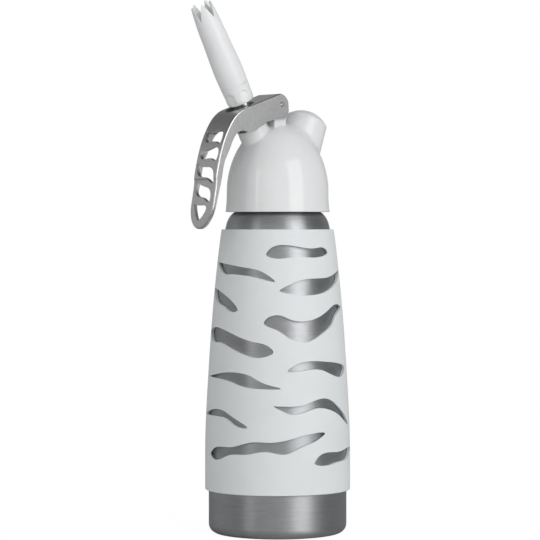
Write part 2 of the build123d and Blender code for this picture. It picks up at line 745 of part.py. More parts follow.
def lever():
    """Cast lever: an inverted channel with a stem hole, wavy slots and two ears."""
    slope = (web_bend[0] - web_end[0], web_bend[1] - web_end[1])
    outer = handle_line(0)
    start = above_pin(web_end)
    tip = above_pin(handle_tip)
    edge = [above_pin(point) for point in (wall_edge_tip, *reversed(wall_edge), ear_low)]
    ear_back = (pivot_x + ear_radius, pivot_z)
    side = make_face(Curve() + [
        Line(start, outer[0]),
        Spline(*outer, tangents=[slope, handle_end]),
        Line(tip, edge[0]),
        Spline(*edge, tangents=[(0.18, 1), (1, 0.1)]),
        Spline(edge[-1], ear_back, tangents=[(1, 0.3), (0, 1)]),
        ThreePointArc(ear_back, above_pin(ear_top), start),
    ])
    body = extrude(Plane.XZ * side, lever_width / 2, both=True)
    inner = handle_line(lever_plate)
    web_run = hypot(*slope)
    inner_start = (start[0] - slope[1] / web_run * lever_plate,
                   start[1] + slope[0] / web_run * lever_plate)
    past_tip = (inner[-1][0] + 3, inner[-1][1] - 5)
    cavity = make_face(Curve() + [
        Line(inner_start, inner[0]),
        Spline(*inner, tangents=[slope, handle_end]),
        Line(inner[-1], past_tip),
        Line(past_tip, (10, past_tip[1])),
        Line((10, past_tip[1]), (10, inner_start[1])),
        Line((10, inner_start[1]), inner_start),
    ])
    half_inside = lever_width / 2 - lever_wall
    cavity_solid = extrude(Plane.XZ * cavity, half_inside, both=True)
    ear_gap = Pos(web_end[0] + 10, 0, pivot_z) * Box(20, 2 * half_inside, 40)
    body &= handle_end_solid(lever_width / 2, tip[1])
    body = fillet(outside_edges(body), lever_edge_rounding)
    body -= cavity_solid & handle_end_solid(half_inside, tip[1] + lever_wall)
    body -= ear_gap
    web_angle = degrees(atan(slope[1] / slope[0]))
    hole_z = start[1] + (stem_hole_x - start[0]) * slope[1] / slope[0]
    hole = extrude(SlotOverall(stem_hole_length, stem_hole_width), 6, both=True)
    body -= Pos(stem_hole_x, 0, hole_z) * Rot(0, -web_angle, 0) * hole
    for points in handle_slots:
        slot = make_face(Spline(*[above_pin(point) for point in points], periodic=True))
        body -= Pos(pivot_x - 60, 0, 0) * extrude(Plane.YZ * slot, 40)
    return body - cross_bore(pin_radius + slide_fit, lever_width)


def pivot_pin():
    """Pin through the ears and the lug, with dimpled ends just below the ears."""
    half = lever_width / 2 - pin_inset
    outer, inner, depth = pin_dimple
    pin = Cylinder(pin_radius, 2 * half)
    dimple = Cone(inner, outer, depth)
    pin -= Pos(0, 0, half - depth / 2) * dimple
    pin -= Pos(0, 0, depth / 2 - half) * Rot(180, 0, 0) * dimple
    return Pos(pivot_x, 0, pivot_z) * Rot(90, 0, 0) * pin


# ================================================================ charger port
insert_top = port_rim - insert_inset
plug_thread_low = plug_low + plug_thread_rise
cap_low = port_rim + face_gap
seal_seat = insert_top + face_gap
cap_ceiling = seal_seat + cap_seal_thickness + face_gap
# the ball rests on the edge of the pin's hole
check_ball_seat = check_chamber_top - 0.1
ball_sunk = sqrt(check_ball_radius ** 2 - pin_hole_radius ** 2)
ball_centre = check_ball_seat - ball_sunk - check_ball_gap
check_seat_top = socket_foot + check_seat_thickness


def port_insert():
    """Socket with the thread for the charger holder and the check valve's chamber."""
    body = disc(insert_foot_radius, socket_foot, insert_step + 1)
    body += disc(insert_radius - snug, insert_step, insert_top)
    body -= thread_groove(port_thread_root, port_thread_depth, port_pitch, plug_thread_low,
                          plug_thread_turns, 1, ceil(cap_unscrew_turns))
    body -= disc(port_thread_root + thread_gap, charger_bore_top, port_rim)
    body -= disc(charger_bore, socket_floor, port_rim)
    body -= disc(pin_shank_radius + snug, socket_foot, port_rim)
    body -= disc(check_bore, socket_foot - 1, check_chamber_top)
    return port_frame * body


def piercing_pin():
    """Hollow pin with a slanted point; its foot is the seat of the check ball."""
    tip = socket_floor + piercing_pin_reach
    flange_top = socket_floor + pin_flange_thickness
    body = disc(pin_shank_radius, check_ball_seat, flange_top)
    body += disc(pin_flange_radius, socket_floor + snug, flange_top)
    body += disc(piercing_pin_radius, socket_floor, tip)
    slant = Pos(0, 0, tip + 0.9) * Rot(0, pin_slant, 0) * Box(10, 10, 3)
    return port_frame * (body - slant - disc(pin_hole_radius, socket_foot, tip + 1))


def pin_gasket():
    """Seal of the charger's neck around the pin."""
    low = socket_floor + pin_flange_thickness + snug
    return port_frame * tube(charger_bore - snug, piercing_pin_radius + snug,
                             low, low + pin_gasket_thickness)


def check_ball():
    """Ball that lets gas in and not out."""
    return port_frame * Pos(0, 0, ball_centre) * Sphere(check_ball_radius)


def check_seat():
    """Screwed ring that holds the check spring in."""
    return port_frame * tube(check_bore - snug, check_seat_bore, socket_foot, check_seat_top)


def check_spring():
    """Light spring under the check ball."""
    mean = check_spring_radius
    high = ball_centre - sqrt(check_ball_radius ** 2 - mean ** 2)
    return port_frame * coil(mean, check_spring_wire, check_spring_turns,
                             check_seat_top + snug, high)


def crown_outline(radius, rounding, low, peak):
    """Rounded edge and round top of a disc as two arcs that meet smoothly."""
    flat = radius - rounding
    turn = 90 - 2 * degrees(atan((peak - low - rounding) / flat))
    centre = low - flat * tan(radians(turn))
    return [CenterArc((flat, low), rounding, 0, turn),
            CenterArc((0, centre), peak - centre, turn, 90 - turn)]


def port_cap():
    """Domed cap with a hollow screwed plug."""
    band_top = port_rim + cap_rim_height
    peak = port_rim + cap_rise
    body = spun(
        Line((0, cap_low), (boss_radius, cap_low)),
        Line((boss_radius, cap_low), (boss_radius, band_top)),
        *crown_outline(boss_radius, cap_rounding, band_top, peak),
        Line((0, peak), (0, cap_low)),
    )
    body -= disc(insert_radius, cap_low - 1, cap_ceiling)
    body += disc(port_thread_root, plug_low, cap_ceiling + 0.5)
    body += thread_ridge(port_thread_root, port_thread_depth, port_pitch,
                         plug_thread_low, plug_thread_turns)
    hollow = port_thread_root - cap_wall
    body -= disc(hollow, plug_low - 1, band_top)
    body -= spun(
        Line((0, band_top - 0.5), (hollow, band_top - 0.5)),
        Line((hollow, band_top - 0.5), (hollow, band_top)),
        *crown_outline(hollow, cap_rounding / 2, band_top, peak - cap_wall),
        Line((0, peak - cap_wall), (0, band_top - 0.5)),
    )
    return port_frame * body


def cap_seal():
    """Ring between the socket and the cap."""
    outer = insert_radius - cap_seal_play
    inner = port_thread_root + port_thread_depth + cap_seal_play
    return port_frame * tube(outer, inner, seal_seat, seal_seat + cap_seal_thickness)


if __name__ == "__main__":
    os.makedirs("parts", exist_ok=True)
    for make in (bottle, grip_sleeve, head_shell, head_core, head_gasket, valve_stem,
                 push_collar, valve_guide, valve_seal, valve_nut, valve_spring,
                 nozzle_washer, decorator_nozzle, lever, pivot_pin, port_insert,
                 piercing_pin, pin_gasket, check_ball, check_seat, check_spring,
                 port_cap, cap_seal):
        save(make(), make.__name__)
    upper_ring = o_ring(stem_radius - o_ring_wire / 2, o_ring_wire, upper_ring_at)
    lower_ring = o_ring(stem_waist - o_ring_wire / 2, o_ring_wire, lower_ring_at)
    save(valve_frame * upper_ring, "stem_o_ring")
    save(valve_frame * lower_ring, "lower_o_ring")
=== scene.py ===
import json
import math
import bmesh
import bpy
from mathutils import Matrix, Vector


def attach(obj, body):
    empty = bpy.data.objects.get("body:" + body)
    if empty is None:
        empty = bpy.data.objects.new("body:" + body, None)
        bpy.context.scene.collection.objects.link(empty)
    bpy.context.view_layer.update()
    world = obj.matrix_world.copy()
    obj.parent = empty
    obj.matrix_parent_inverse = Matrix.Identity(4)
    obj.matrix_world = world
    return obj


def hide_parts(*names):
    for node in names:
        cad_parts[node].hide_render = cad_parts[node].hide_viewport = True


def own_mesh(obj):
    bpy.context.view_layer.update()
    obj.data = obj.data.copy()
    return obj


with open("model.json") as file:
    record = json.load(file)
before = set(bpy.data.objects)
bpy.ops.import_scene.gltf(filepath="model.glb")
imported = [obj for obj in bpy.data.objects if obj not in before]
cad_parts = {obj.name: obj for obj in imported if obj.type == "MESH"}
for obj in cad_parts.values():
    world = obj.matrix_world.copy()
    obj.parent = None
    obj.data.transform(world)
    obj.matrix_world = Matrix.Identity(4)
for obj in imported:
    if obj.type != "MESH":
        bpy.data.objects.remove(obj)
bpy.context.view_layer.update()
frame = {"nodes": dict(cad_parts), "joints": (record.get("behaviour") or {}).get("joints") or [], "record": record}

bl_info = {
    "name": "Whipped Cream Dispenser",
    "version": (1, 0, 0),
    "blender": (4, 5, 0),
    "location": "View3D > Sidebar > Dispenser",
    "description": "Dresses a whipped cream dispenser with its sleeve, head, lever and nozzle",
    "category": "Object",
}

MM = 0.001
NODES = frame["nodes"]
BODY_OF = {node: body
           for body, group in frame["record"]["behaviour"]["bodies"].items()
           for node in group}
SLOT_OF = {part["node"]: part["material_slot"] for part in frame["record"]["subparts"]}
FINISHES = {}                    # materials by slot, filled by the finishes operator

# meshes
WELD = 0.002 * MM                # vertices closer than this are one
SMOOTH_ANGLE = 28                # degrees up to which an edge is smooth, where none is given
FLAT_LEAD = 80                   # how far large faces lead the normals, 50 being even
WIRE_SIDES = 14                  # sides of a spring's round wire
WIRE_ANGLE = 40                  # degrees up to which an edge of the wire is smooth

# patterns: the part of the noise's range that is spread over a finish's roughness
NOISE_LOW, NOISE_HIGH = 0.3, 0.7

# stage: a place is (degrees to the right of the camera, metres from the axis, height)
AIM = (0, 0, 0.16)               # point that both lamps face
KEY_PLACE, KEY_SIZE = (43, 1.5, 0.40), (0.92, 1.9)
FILL_PLACE, FILL_SIZE = (-47, 1.7, 0.35), (0.26, 1.5)
FRONT_PLACE = (8, 1, 0)          # middle of the brighter front of the room
CARD_PLACE = (-97, 1, -0.05)     # middle of the white card
FLOOR_REACH = 6.0                # from the axis to each edge of the floor
FLOOR_WHITE = 0.85               # share of the light that the floor throws back
FLOOR_GLOW = 1.08                # brightness of the floor's even white
GLOW_SHARE = 0.88                # part of that white in what the camera sees of the floor

# parts of the room: where a part starts and where it is full, as cosines to its middle
FRONT_LIMITS = (0.15, 0.85)
BACK_LIMITS = (0.1, 0.9)
MIRRORED_LIMITS = (0.45, 0.95)
CARD_LIMITS = (0.74, 0.98)
CEILING_LIMITS = (0.3, 0.85)
BACKDROP_LIMITS = (0.93, 0.99)
CEILING_SHARE = 0.3              # of the room, straight up, that gloss and metal mirror


# ------------------------------------------------------------------ settings
class DispenserFinish(bpy.types.PropertyGroup):
    """Colours and surface values of the dispenser's finishes"""

    silicone: bpy.props.FloatVectorProperty(
        name="Sleeve colour", description="Colour of the soft grip sleeve",
        subtype="COLOR", size=3, min=0, max=1, default=(0.80, 0.83, 0.84))
    gloss_white: bpy.props.FloatVectorProperty(
        name="Head colour", description="Colour of the gloss plastic of the head and the port cap",
        subtype="COLOR", size=3, min=0, max=1, default=(0.825, 0.84, 0.845))
    satin_white: bpy.props.FloatVectorProperty(
        name="Nozzle colour", description="Colour of the satin plastic of the nozzle",
        subtype="COLOR", size=3, min=0, max=1, default=(0.87, 0.885, 0.89))
    bottle_metal: bpy.props.FloatVectorProperty(
        name="Bottle metal", description="Reflection colour of the brushed bottle",
        subtype="COLOR", size=3, min=0, max=1, default=(0.535, 0.545, 0.56))
    lever_metal: bpy.props.FloatVectorProperty(
        name="Lever metal", description="Reflection colour of the cast lever",
        subtype="COLOR", size=3, min=0, max=1, default=(0.69, 0.695, 0.695))
    brushing: bpy.props.FloatProperty(
        name="Brushing", description="Depth of the bottle's brushed lines",
        subtype="DISTANCE", unit="LENGTH", min=0, max=0.001, default=0.00002)


class DispenserSprings(bpy.types.PropertyGroup):
    """Wire and turns of the two coil springs"""

    valve_wire: bpy.props.FloatProperty(
        name="Valve spring wire", description="Thickness of the valve spring's wire",
        subtype="DISTANCE", unit="LENGTH", min=0.0001, max=0.003, default=0.9 * MM)
    valve_turns: bpy.props.FloatProperty(
        name="Valve spring turns", description="Turns of the valve spring",
        min=1, max=20, default=4.5)
    check_wire: bpy.props.FloatProperty(
        name="Check spring wire", description="Thickness of the check valve spring's wire",
        subtype="DISTANCE", unit="LENGTH", min=0.0001, max=0.002, default=0.5 * MM)
    check_turns: bpy.props.FloatProperty(
        name="Check spring turns", description="Turns of the check valve spring",
        min=1, max=20, default=4.0)
    turn_points: bpy.props.IntProperty(
        name="Points a turn", description="How many points follow each turn of a spring",
        min=8, max=128, default=40)


class DispenserStage(bpy.types.PropertyGroup):
    """Camera and lights round the dispenser"""

    turn: bpy.props.FloatProperty(
        name="Turn", description="Angle of the camera from the side toward the lever",
        subtype="ANGLE", default=math.radians(36.0))
    distance: bpy.props.FloatProperty(
        name="Distance", description="From the bottle's axis to the camera",
        subtype="DISTANCE", unit="LENGTH", min=0.1, default=1.475)
    eye: bpy.props.FloatProperty(
        name="Eye level", description="Height of the camera above the table",
        subtype="DISTANCE", unit="LENGTH", default=0.1802)
    lens: bpy.props.FloatProperty(
        name="Lens", description="Focal length in millimetres on a 36 mm sensor",
        min=10, max=400, default=169.5)
    pitch: bpy.props.FloatProperty(
        name="Pitch", description="How far the camera looks down",
        subtype="ANGLE", default=math.radians(1.08))
    aside: bpy.props.FloatProperty(
        name="Aside", description="How far the camera turns to the left of the bottle's axis",
        subtype="ANGLE", default=math.radians(0.171))
    key_power: bpy.props.FloatProperty(
        name="Key light", description="Power of the large softbox in watts",
        min=0, max=500, default=12.5)
    fill_power: bpy.props.FloatProperty(
        name="Fill light", description="Power of the narrow softbox on the left in watts",
        min=0, max=500, default=2.1)
    room_front: bpy.props.FloatProperty(
        name="Room light in front", description="Strength of the even light from the camera's side",
        min=0, max=2, default=0.80)
    room_sides: bpy.props.FloatProperty(
        name="Room light from the sides",
        description="Strength of the even light from all other sides",
        min=0, max=2, default=0.32)
    room_back: bpy.props.FloatProperty(
        name="Room light from behind", description="Strength that the light from behind adds",
        min=0, max=2, default=0.24)
    side_card: bpy.props.FloatProperty(
        name="Side card", description="Strength of the white card on the left that metal mirrors",
        min=0, max=4, default=0.75)
    mirrored_share: bpy.props.FloatProperty(
        name="Mirrored room", description="Share of the even light that gloss and metal mirror",
        subtype="FACTOR", min=0, max=1, default=0.5)
    mirrored_front: bpy.props.FloatProperty(
        name="Mirrored front", description="That share for the light from the camera's side",
        subtype="FACTOR", min=0, max=1, default=1.0)


# ------------------------------------------------------------------ shader helpers
def new_finish(name):
    """Empty principled material with its tree and shader."""
    finish = bpy.data.materials.new(name)
    finish.use_nodes = True
    tree = finish.node_tree
    shader = tree.nodes["Principled BSDF"]
    return finish, tree, shader


def add(tree, kind, **values):
    """One shader node with some of its attributes set."""
    node = tree.nodes.new(kind)
    for name, value in values.items():
        setattr(node, name, value)
    return node


def pattern(tree, scale=1, stretch=(1, 1, 1), detail=3.0, roughness=0.5):
    """Noise on object coordinates, in features per metre, stretched along the axes."""
    place = add(tree, "ShaderNodeTexCoord")
    mapping = add(tree, "ShaderNodeMapping")
    mapping.inputs["Scale"].default_value = stretch
    noise = add(tree, "ShaderNodeTexNoise")
    noise.inputs["Scale"].default_value = scale
    noise.inputs["Detail"].default_value = detail
    noise.inputs["Roughness"].default_value = roughness
    tree.links.new(place.outputs["Object"], mapping.inputs["Vector"])
    tree.links.new(mapping.outputs["Vector"], noise.inputs["Vector"])
    return noise.outputs["Fac"]


def combined(tree, operation, *values):
    """The result of one calculation on sockets and plain numbers."""
    node = add(tree, "ShaderNodeMath", operation=operation)
    for value, socket in zip(values, node.inputs):
        if isinstance(value, bpy.types.NodeSocket):
            tree.links.new(value, socket)
        else:
            socket.default_value = value
    return node.outputs["Value"]


def shade(colour, factor):
    """A colour made darker or lighter."""
    return tuple(min(1.0, channel * factor) for channel in colour)


def coloured(tree, shader, value, colour, dark, light, reach=0.15):
    """Base colour between two shades, for values within a reach of the middle."""
    ramp = add(tree, "ShaderNodeValToRGB")
    low, high = ramp.color_ramp.elements
    low.position, low.color = 0.5 - reach, (*shade(colour, dark), 1)
    high.position, high.color = 0.5 + reach, (*shade(colour, light), 1)
    tree.links.new(value, ramp.inputs["Fac"])
    tree.links.new(ramp.outputs["Color"], shader.inputs["Base Color"])


def roughened(tree, shader, value, low, high):
    """Roughness that a pattern spreads between two limits."""
    spread = add(tree, "ShaderNodeMapRange")
    spread.inputs["From Min"].default_value = NOISE_LOW
    spread.inputs["From Max"].default_value = NOISE_HIGH
    spread.inputs["To Min"].default_value = low
    spread.inputs["To Max"].default_value = high
    tree.links.new(value, spread.inputs["Value"])
    tree.links.new(spread.outputs["Result"], shader.inputs["Roughness"])


def relief(tree, shader, value, depth, strength):
    """Bump of a stated depth in metres."""
    bump = add(tree, "ShaderNodeBump")
    bump.inputs["Distance"].default_value = depth
    bump.inputs["Strength"].default_value = strength
    tree.links.new(value, bump.inputs["Height"])
    tree.links.new(bump.outputs["Normal"], shader.inputs["Normal"])


# ------------------------------------------------------------------ finishes
def silicone_finish(settings):
    """Soft matt silicone with a fine tooth and a faint sheen."""
    finish, tree, shader = new_finish("soft_silicone")
    coloured(tree, shader, pattern(tree, 60, detail=4), settings.silicone, dark=0.985, light=1.01)
    roughened(tree, shader, pattern(tree, 300), low=0.48, high=0.56)
    shader.inputs["Specular IOR Level"].default_value = 0.35
    shader.inputs["Sheen Weight"].default_value = 0.08
    shader.inputs["Sheen Roughness"].default_value = 0.5
    relief(tree, shader, pattern(tree, 3500, detail=2), depth=0.01 * MM, strength=0.3)
    return finish


def gloss_finish(settings):
    """Moulded gloss plastic with a faint waviness."""
    finish, tree, shader = new_finish("gloss_plastic")
    coloured(tree, shader, pattern(tree, 40, detail=2), settings.gloss_white, dark=0.99, light=1.01)
    roughened(tree, shader, pattern(tree, 120), low=0.08, high=0.12)
    shader.inputs["IOR"].default_value = 1.47
    waves = pattern(tree, stretch=(120, 120, 20), detail=0)
    relief(tree, shader, waves, depth=0.02 * MM, strength=0.10)
    return finish


def satin_finish(settings):
    """Satin nozzle plastic with a fine moulded grain, lit a little from within."""
    finish, tree, shader = new_finish("satin_plastic")
    coloured(tree, shader, pattern(tree, 50), settings.satin_white, dark=0.98, light=1.01)
    roughened(tree, shader, pattern(tree, 250), low=0.30, high=0.38)
    shader.inputs["Subsurface Weight"].default_value = 0.12
    shader.inputs["Subsurface Radius"].default_value = (1.0, 0.95, 0.9)
    shader.inputs["Subsurface Scale"].default_value = 1.5 * MM
    relief(tree, shader, pattern(tree, 1800, detail=2), depth=0.01 * MM, strength=0.25)
    return finish


def brushed_finish(settings):
    """Bottle metal brushed round its axis, so its reflections spread up and down."""
    finish, tree, shader = new_finish("brushed_metal")
    lines = pattern(tree, stretch=(180, 180, 2400), detail=4, roughness=0.75)
    bands = pattern(tree, stretch=(60, 60, 900))
    mixed = combined(tree, "MULTIPLY", combined(tree, "ADD", lines, bands), 0.5)
    coloured(tree, shader, mixed, settings.bottle_metal, dark=0.91, light=1.08, reach=0.12)
    roughened(tree, shader, bands, low=0.44, high=0.50)
    shader.inputs["Metallic"].default_value = 1.0
    shader.inputs["Anisotropic"].default_value = 0.75
    shader.inputs["Anisotropic Rotation"].default_value = 0.25
    round_axis = add(tree, "ShaderNodeTangent", direction_type="RADIAL", axis="Z")
    tree.links.new(round_axis.outputs["Tangent"], shader.inputs["Tangent"])
    relief(tree, shader, lines, depth=settings.brushing, strength=0.25)
    return finish


def lever_finish(settings):
    """Satin cast metal with a fine linished grain."""
    finish, tree, shader = new_finish("cast_metal")
    coloured(tree, shader, pattern(tree, 500, detail=5), settings.lever_metal,
             dark=0.95, light=1.04)
    roughened(tree, shader, pattern(tree, 300), low=0.29, high=0.33)
    shader.inputs["Metallic"].default_value = 1.0
    grain = pattern(tree, stretch=(900, 250, 900), detail=2)
    relief(tree, shader, grain, depth=0.005 * MM, strength=0.3)
    return finish


def metal_finish(name, colour, rough, stretch):
    """Small machined metal parts, with turning marks."""
    finish, tree, shader = new_finish(name)
    marks = pattern(tree, stretch=stretch)
    coloured(tree, shader, marks, colour, dark=0.85, light=1.1)
    roughened(tree, shader, marks, low=rough * 0.8, high=rough * 1.2)
    shader.inputs["Metallic"].default_value = 1.0
    relief(tree, shader, marks, depth=0.01 * MM, strength=0.4)
    return finish


def seal_finish():
    """Dark matt rubber of the seals."""
    finish, tree, shader = new_finish("dark_rubber")
    coloured(tree, shader, pattern(tree, 400), (0.055, 0.055, 0.06), dark=0.82, light=1.18)
    roughened(tree, shader, pattern(tree, 900), low=0.55, high=0.7)
    relief(tree, shader, pattern(tree, 2500), depth=0.01 * MM, strength=0.4)
    return finish


def all_finishes(settings):
    """Every material by the name of its slot in the record."""
    return {
        "sleeve_silicone": silicone_finish(settings),
        "head_plastic": gloss_finish(settings),
        "nozzle_plastic": satin_finish(settings),
        "bottle_metal": brushed_finish(settings),
        "lever_metal": lever_finish(settings),
        "pin_metal": metal_finish("polished_pin", (0.68, 0.68, 0.67), 0.22, (900, 60, 900)),
        "core_metal": metal_finish("turned_core", (0.62, 0.62, 0.63), 0.34, (80, 80, 2500)),
        "valve_metal": metal_finish("turned_valve", (0.60, 0.60, 0.60), 0.28, (90, 90, 3000)),
        "spring_steel": metal_finish("drawn_wire", (0.52, 0.52, 0.53), 0.3, (1500, 1500, 1500)),
        "seal_rubber": seal_finish(),
    }


# ------------------------------------------------------------------ mesh helpers
def smooth_by_angle(mesh, degrees):
    """Smooth shading with edges sharper than an angle kept sharp."""
    mesh.shade_smooth()
    mesh.set_sharp_from_angle(angle=math.radians(degrees))


def settled(piece):
    """The piece with its modifiers worked into a plain mesh."""
    graph = bpy.context.evaluated_depsgraph_get()
    made = bpy.data.meshes.new_from_object(piece.evaluated_get(graph),
                                           preserve_all_data_layers=True, depsgraph=graph)
    made.name = piece.name
    piece.modifiers.clear()
    piece.data = made
    return piece


def even_normals(piece):
    """Normals led by the large faces, so that flat sides stay flat beside their roundings."""
    weighted = piece.modifiers.new("even", "WEIGHTED_NORMAL")
    weighted.mode = "FACE_AREA"
    weighted.weight = FLAT_LEAD
    weighted.keep_sharp = True
    return settled(piece)


def merged_copy(node, name, degrees):
    """Joined-up copy of a CAD node's mesh, shaded smooth over its curved faces."""
    mesh = NODES[node].data.copy()
    mesh.name = name
    shape = bmesh.new()
    shape.from_mesh(mesh)
    bmesh.ops.remove_doubles(shape, verts=shape.verts, dist=WELD)
    shape.to_mesh(mesh)
    shape.free()
    smooth_by_angle(mesh, degrees)
    piece = bpy.data.objects.new(name, mesh)
    bpy.context.scene.collection.objects.link(piece)
    return even_normals(piece)


def dress(piece, node):
    """Puts a finished piece in a CAD node's place, on its body and in its slot."""
    piece.data.materials.clear()
    piece.data.materials.append(FINISHES[SLOT_OF[node]])
    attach(piece, BODY_OF[node])
    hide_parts(node)


def dress_nodes(nodes, degrees=SMOOTH_ANGLE):
    """Dresses nodes whose CAD shape is kept."""
    for node in nodes:
        dress(merged_copy(node, node + "_dressed", degrees), node)


# ------------------------------------------------------------------ geometry nodes
def new_input(tree, name, kind, default=None, subtype=None):
    """One named input of a geometry tree."""
    socket = tree.interface.new_socket(name=name, in_out="INPUT", socket_type=kind)
    if subtype:
        socket.subtype = subtype
    if default is not None:
        socket.default_value = default
    return socket


def spring_tree():
    """Wire that climbs round an axis, leaned and put in place."""
    tree = bpy.data.node_groups.new("coil_spring", "GeometryNodeTree")
    new_input(tree, "Coil radius", "NodeSocketFloat", 4 * MM, "DISTANCE")
    new_input(tree, "Wire radius", "NodeSocketFloat", 0.4 * MM, "DISTANCE")
    new_input(tree, "Rise", "NodeSocketFloat", 10 * MM, "DISTANCE")
    new_input(tree, "Turns", "NodeSocketFloat", 4.0)
    new_input(tree, "Points a turn", "NodeSocketInt", 40)
    new_input(tree, "Foot", "NodeSocketVector", (0, 0, 0), "TRANSLATION")
    new_input(tree, "Lean", "NodeSocketVector", (0, 0, 0), "EULER")
    new_input(tree, "Finish", "NodeSocketMaterial")
    tree.interface.new_socket(name="Spring", in_out="OUTPUT", socket_type="NodeSocketGeometry")
    given = add(tree, "NodeGroupInput")
    path = add(tree, "GeometryNodeCurveSpiral")
    for name, socket in (("Points a turn", "Resolution"), ("Turns", "Rotations"),
                         ("Coil radius", "Start Radius"), ("Coil radius", "End Radius"),
                         ("Rise", "Height")):
        tree.links.new(given.outputs[name], path.inputs[socket])
    section = add(tree, "GeometryNodeCurvePrimitiveCircle")
    section.inputs["Resolution"].default_value = WIRE_SIDES
    tree.links.new(given.outputs["Wire radius"], section.inputs["Radius"])
    wire = add(tree, "GeometryNodeCurveToMesh")
    wire.inputs["Fill Caps"].default_value = True
    tree.links.new(path.outputs["Curve"], wire.inputs["Curve"])
    tree.links.new(section.outputs["Curve"], wire.inputs["Profile Curve"])
    placed = add(tree, "GeometryNodeTransform")
    tree.links.new(wire.outputs["Mesh"], placed.inputs["Geometry"])
    tree.links.new(given.outputs["Foot"], placed.inputs["Translation"])
    tree.links.new(given.outputs["Lean"], placed.inputs["Rotation"])
    real = add(tree, "GeometryNodeRealizeInstances")
    tree.links.new(placed.outputs["Geometry"], real.inputs["Geometry"])
    finished = add(tree, "GeometryNodeSetMaterial")
    tree.links.new(real.outputs["Geometry"], finished.inputs["Geometry"])
    tree.links.new(given.outputs["Finish"], finished.inputs["Material"])
    out = add(tree, "NodeGroupOutput")
    tree.links.new(finished.outputs["Geometry"], out.inputs["Spring"])
    return tree


def grown(name, tree, values):
    """A plain mesh object that a geometry tree makes from its named values."""
    piece = bpy.data.objects.new(name, bpy.data.meshes.new(name))
    bpy.context.scene.collection.objects.link(piece)
    modifier = piece.modifiers.new(tree.name, "NODES")
    modifier.node_group = tree
    for item in tree.interface.items_tree:
        if item.item_type == "SOCKET" and item.in_out == "INPUT":
            modifier[item.identifier] = values[item.name]
    settled(piece)
    shape = bmesh.new()
    shape.from_mesh(piece.data)
    bmesh.ops.recalc_face_normals(shape, faces=shape.faces)
    shape.to_mesh(piece.data)
    shape.free()
    smooth_by_angle(piece.data, WIRE_ANGLE)
    return piece


def joint_line(name):
    """A point on a joint's axis and its direction, upward."""
    joint = next(joint for joint in frame["joints"] if joint["name"] == name)
    axis = Vector(joint["axis"]).normalized()
    return Vector(joint["pos_m"]), axis if axis.z > 0 else -axis


def spring(node, line, wire, turns, points):
    """Coil spring as wide and as high as its CAD node, wound round a joint's axis."""
    place, axis = joint_line(line)
    reach = [vertex.co - place for vertex in NODES[node].data.vertices]
    along = [point.dot(axis) for point in reach]
    outer = max((point - axis * point.dot(axis)).length for point in reach)
    low = min(along) + wire / 2
    piece = grown(node + "_coil", bpy.data.node_groups["coil_spring"], {
        "Coil radius": outer - wire / 2,
        "Wire radius": wire / 2,
        "Rise": max(along) - wire / 2 - low,
        "Turns": turns,
        "Points a turn": points,
        "Foot": tuple(place + axis * low),
        "Lean": (0.0, math.atan2(axis.x, axis.z), 0.0),
        "Finish": FINISHES[SLOT_OF[node]],
    })
    dress(piece, node)
    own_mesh(piece)


# ------------------------------------------------------------------ operators
class DISPENSER_OT_finishes(bpy.types.Operator):
    """Make the dispenser's materials"""

    bl_idname = "dispenser.finishes"
    bl_label = "Finishes"

    def execute(self, context):
        FINISHES.update(all_finishes(context.scene.dispenser_finish))
        return {"FINISHED"}


class DISPENSER_OT_bottle(bpy.types.Operator):
    """Dress the brushed bottle"""

    bl_idname = "dispenser.bottle"
    bl_label = "Bottle"

    def execute(self, context):
        dress_nodes(["bottle"], degrees=24)
        return {"FINISHED"}


class DISPENSER_OT_sleeve(bpy.types.Operator):
    """Dress the striped grip sleeve"""

    bl_idname = "dispenser.sleeve"
    bl_label = "Grip sleeve"

    def execute(self, context):
        dress_nodes(["grip_sleeve"], degrees=13)
        return {"FINISHED"}


class DISPENSER_OT_head(bpy.types.Operator):
    """Dress the gloss head shell"""

    bl_idname = "dispenser.head"
    bl_label = "Head shell"

    def execute(self, context):
        dress_nodes(["head_shell"], degrees=35)
        return {"FINISHED"}


class DISPENSER_OT_lever(bpy.types.Operator):
    """Dress the cast lever and its pivot pin"""

    bl_idname = "dispenser.lever"
    bl_label = "Lever and pin"

    def execute(self, context):
        dress_nodes(["lever"], degrees=12)
        dress_nodes(["pivot_pin"])
        return {"FINISHED"}


class DISPENSER_OT_nozzle(bpy.types.Operator):
    """Dress the decorator nozzle and the washer under it"""

    bl_idname = "dispenser.nozzle"
    bl_label = "Nozzle"

    def execute(self, context):
        dress_nodes(["decorator_nozzle", "nozzle_washer"], degrees=32)
        return {"FINISHED"}


class DISPENSER_OT_port_cap(bpy.types.Operator):
    """Dress the port cap and its seal"""

    bl_idname = "dispenser.port_cap"
    bl_label = "Port cap"

    def execute(self, context):
        dress_nodes(["port_cap", "cap_seal"], degrees=32)
        return {"FINISHED"}


class DISPENSER_OT_charger_port(bpy.types.Operator):
    """Dress the metal socket, the piercing pin and the check valve under the cap"""

    bl_idname = "dispenser.charger_port"
    bl_label = "Charger port"

    def execute(self, context):
        dress_nodes(["port_insert", "piercing_pin", "pin_gasket", "check_ball", "check_seat"])
        return {"FINISHED"}


class DISPENSER_OT_valve(bpy.types.Operator):
    """Dress the valve with its guide, collar, nut and seals"""

    bl_idname = "dispenser.valve"
    bl_label = "Valve"

    def execute(self, context):
        dress_nodes(["valve_stem", "push_collar", "valve_guide", "valve_nut", "valve_seal",
                     "stem_o_ring", "lower_o_ring"])
        return {"FINISHED"}


class DISPENSER_OT_core(bpy.types.Operator):
    """Dress the metal core and the gasket on the bottle's mouth"""

    bl_idname = "dispenser.core"
    bl_label = "Head core"

    def execute(self, context):
        dress_nodes(["head_core", "head_gasket"])
        return {"FINISHED"}


